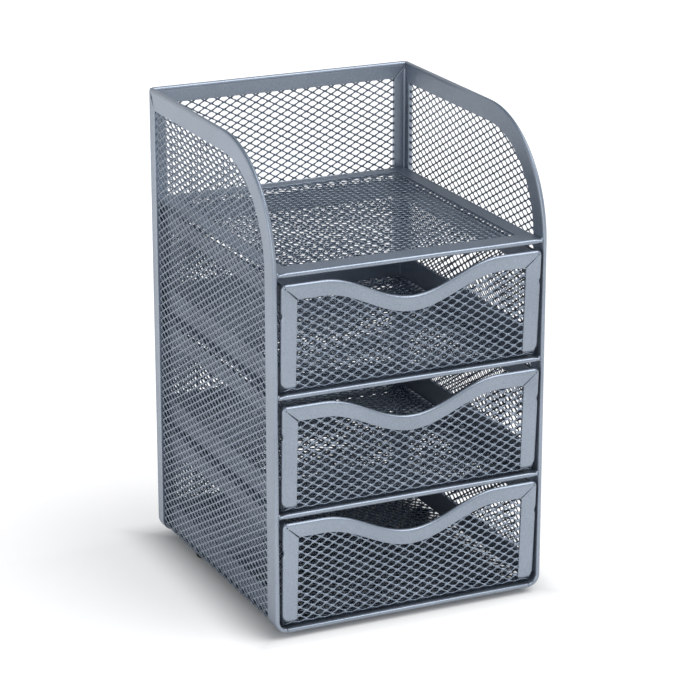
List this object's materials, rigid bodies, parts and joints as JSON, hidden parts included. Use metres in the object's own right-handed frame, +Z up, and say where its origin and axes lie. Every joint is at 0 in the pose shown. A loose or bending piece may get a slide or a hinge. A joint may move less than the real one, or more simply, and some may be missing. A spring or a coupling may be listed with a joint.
{
  "type": "desk organizer with drawers",
  "caption": "Free-standing desk organizer in painted steel mesh with pull-out drawers, an open tray on top and rounded side panels.",
  "frame": {"origin": "centre of the footprint, on the surface that the feet stand on", "axes": "+Z up, +X to the right seen from the front, -Y out of the drawer fronts"},
  "size_m": [0.135, 0.1468, 0.225],
  "materials": {
    "carcass_strip": "satin grey powder coat",
    "carcass_mesh": "satin grey powder coat on expanded steel mesh",
    "drawer_strip": "satin grey powder coat",
    "drawer_mesh": "satin grey powder coat on expanded steel mesh",
    "rubber": "matt black rubber"
  },
  "bodies": {
    "carcass": {"left_side_mesh": "carcass_mesh", "right_side_mesh": "carcass_mesh", "back_mesh": "carcass_mesh", "base_mesh": "carcass_mesh", "left_base_bend": "carcass_mesh", "right_base_bend": "carcass_mesh", "left_side_rim": "carcass_strip", "right_side_rim": "carcass_strip", "base_front_rim": "carcass_strip", "back_top_rail": "carcass_strip", "back_bottom_rail": "carcass_strip", "left_back_post": "carcass_strip", "right_back_post": "carcass_strip", "left_side_back_strip": "carcass_strip", "right_side_back_strip": "carcass_strip", "foot_front_left": "rubber", "foot_front_right": "rubber", "foot_back_left": "rubber", "foot_back_right": "rubber", "lower_shelf_mesh": "carcass_mesh", "lower_shelf_rail": "carcass_strip", "lower_shelf_frame": "carcass_strip", "upper_shelf_mesh": "carcass_mesh", "upper_shelf_rail": "carcass_strip", "upper_shelf_frame": "carcass_strip", "tray_mesh": "carcass_mesh", "tray_rail": "carcass_strip", "tray_frame": "carcass_strip"},
    "bottom_drawer": {"bottom_drawer_floor": "drawer_mesh", "bottom_drawer_left_wall": "drawer_mesh", "bottom_drawer_right_wall": "drawer_mesh", "bottom_drawer_back_wall": "drawer_mesh", "bottom_drawer_foot_strip": "drawer_strip", "bottom_drawer_edge_strip": "drawer_strip", "bottom_drawer_front_mesh": "drawer_mesh", "bottom_drawer_front_top_strip": "drawer_strip", "bottom_drawer_front_left_strip": "drawer_strip", "bottom_drawer_front_right_strip": "drawer_strip"},
    "middle_drawer": {"middle_drawer_floor": "drawer_mesh", "middle_drawer_left_wall": "drawer_mesh", "middle_drawer_right_wall": "drawer_mesh", "middle_drawer_back_wall": "drawer_mesh", "middle_drawer_foot_strip": "drawer_strip", "middle_drawer_edge_strip": "drawer_strip", "middle_drawer_front_mesh": "drawer_mesh", "middle_drawer_front_top_strip": "drawer_strip", "middle_drawer_front_left_strip": "drawer_strip", "middle_drawer_front_right_strip": "drawer_strip"},
    "top_drawer": {"top_drawer_floor": "drawer_mesh", "top_drawer_left_wall": "drawer_mesh", "top_drawer_right_wall": "drawer_mesh", "top_drawer_back_wall": "drawer_mesh", "top_drawer_foot_strip": "drawer_strip", "top_drawer_edge_strip": "drawer_strip", "top_drawer_front_mesh": "drawer_mesh", "top_drawer_front_top_strip": "drawer_strip", "top_drawer_front_left_strip": "drawer_strip", "top_drawer_front_right_strip": "drawer_strip"}
  },
  "joints": [
    {"name": "bottom_drawer_slide", "type": "slide", "parent": "carcass", "child": "bottom_drawer", "axis": [0, -1, 0], "range_m": [0, 0.11]},
    {"name": "middle_drawer_slide", "type": "slide", "parent": "carcass", "child": "middle_drawer", "axis": [0, -1, 0], "range_m": [0, 0.11]},
    {"name": "top_drawer_slide", "type": "slide", "parent": "carcass", "child": "top_drawer", "axis": [0, -1, 0], "range_m": [0, 0.11]}
  ]
}
